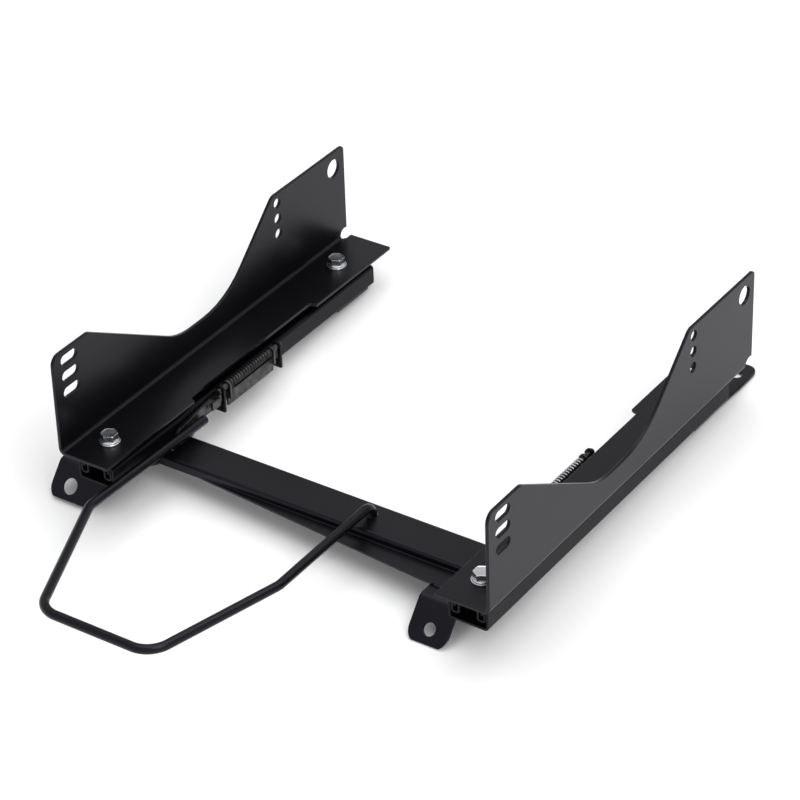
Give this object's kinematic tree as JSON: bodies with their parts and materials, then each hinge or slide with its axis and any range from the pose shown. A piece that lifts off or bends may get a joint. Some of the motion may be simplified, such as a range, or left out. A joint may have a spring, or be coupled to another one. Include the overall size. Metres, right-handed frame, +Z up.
{
  "type": "seat slide rail",
  "caption": "Pair of black sheet-metal side brackets on ball slide rails, joined by a cross member, with a bent-rod release lever, rail locks and floor feet.",
  "frame": {"origin": "midway between the two rear floor holes, on the underside of the rear feet", "axes": "+X to the right across the seat, +Y towards the rear along the rails, +Z up"},
  "size_m": [0.441, 0.596, 0.1553],
  "materials": {
    "black_paint": "semi-gloss baked black paint on pressed sheet steel",
    "zinc": "bright zinc-plated steel",
    "dark_steel": "dark oiled steel",
    "rail_black": "satin black dip coat on rolled rails",
    "spring_wire": "drawn spring wire"
  },
  "bodies": {
    "base": {"left_lower_rail": "rail_black", "right_lower_rail": "rail_black", "cross_member": "black_paint", "left_front_foot": "black_paint", "right_front_foot": "black_paint", "left_rear_foot": "black_paint", "right_rear_foot": "black_paint", "shaft_hangers": "black_paint", "base_rivets": "black_paint", "left_pin_lugs": "rail_black", "right_pin_lugs": "rail_black", "left_pawl_pin": "dark_steel", "right_pawl_pin": "dark_steel", "left_pawl_spring": "dark_steel", "right_pawl_spring": "spring_wire"},
    "left_carriage": {"left_upper_rail": "rail_black", "left_side_bracket": "black_paint", "left_bolts": "zinc", "left_washers": "zinc", "left_weld_nuts": "dark_steel"},
    "right_carriage": {"right_upper_rail": "rail_black", "right_side_bracket": "black_paint", "right_bolts": "zinc", "right_washers": "zinc", "right_weld_nuts": "dark_steel"},
    "left_ball_train": {"left_ball_cages": "dark_steel", "left_balls": "zinc"},
    "right_ball_train": {"right_ball_cages": "dark_steel", "right_balls": "zinc"},
    "lever": {"lever_rod": "black_paint", "cross_shaft": "dark_steel", "left_release_arm": "dark_steel", "right_release_arm": "dark_steel"},
    "left_pawl": {"left_lock_pawl": "dark_steel"},
    "right_pawl": {"right_lock_pawl": "dark_steel"}
  },
  "joints": [
    {"name": "left_slide", "type": "slide", "parent": "base", "child": "left_carriage", "axis": [0, 1, 0], "range_m": [-0.08, 0.08]},
    {"name": "right_slide", "type": "slide", "parent": "base", "child": "right_carriage", "axis": [0, 1, 0], "range_m": [-0.08, 0.08]},
    {"name": "left_ball_roll", "type": "slide", "parent": "base", "child": "left_ball_train", "axis": [0, 1, 0], "range_m": [-0.04, 0.04]},
    {"name": "right_ball_roll", "type": "slide", "parent": "base", "child": "right_ball_train", "axis": [0, 1, 0], "range_m": [-0.04, 0.04]},
    {"name": "release_lever", "type": "hinge", "parent": "base", "child": "lever", "pos_m": [0.018, -0.327, -0.004], "axis": [-1, 0, 0], "range_deg": [-6, 4], "stiffness_Nm_per_rad": 12, "springref_deg": 1.43},
    {"name": "left_lock", "type": "hinge", "parent": "base", "child": "left_pawl", "pos_m": [-0.136, -0.232, 0.02445], "axis": [0, -1, 0], "range_deg": [-12, 8]},
    {"name": "right_lock", "type": "hinge", "parent": "base", "child": "right_pawl", "pos_m": [0.172, -0.232, 0.02445], "axis": [0, 1, 0], "range_deg": [-12, 8]}
  ],
  "couplings": [
    {"joint": "left_ball_roll", "follows": "left_slide", "ratio": 0.5},
    {"joint": "right_ball_roll", "follows": "right_slide", "ratio": 0.5},
    {"joint": "left_lock", "follows": "release_lever", "ratio": 2},
    {"joint": "right_lock", "follows": "release_lever", "ratio": 2}
  ]
}
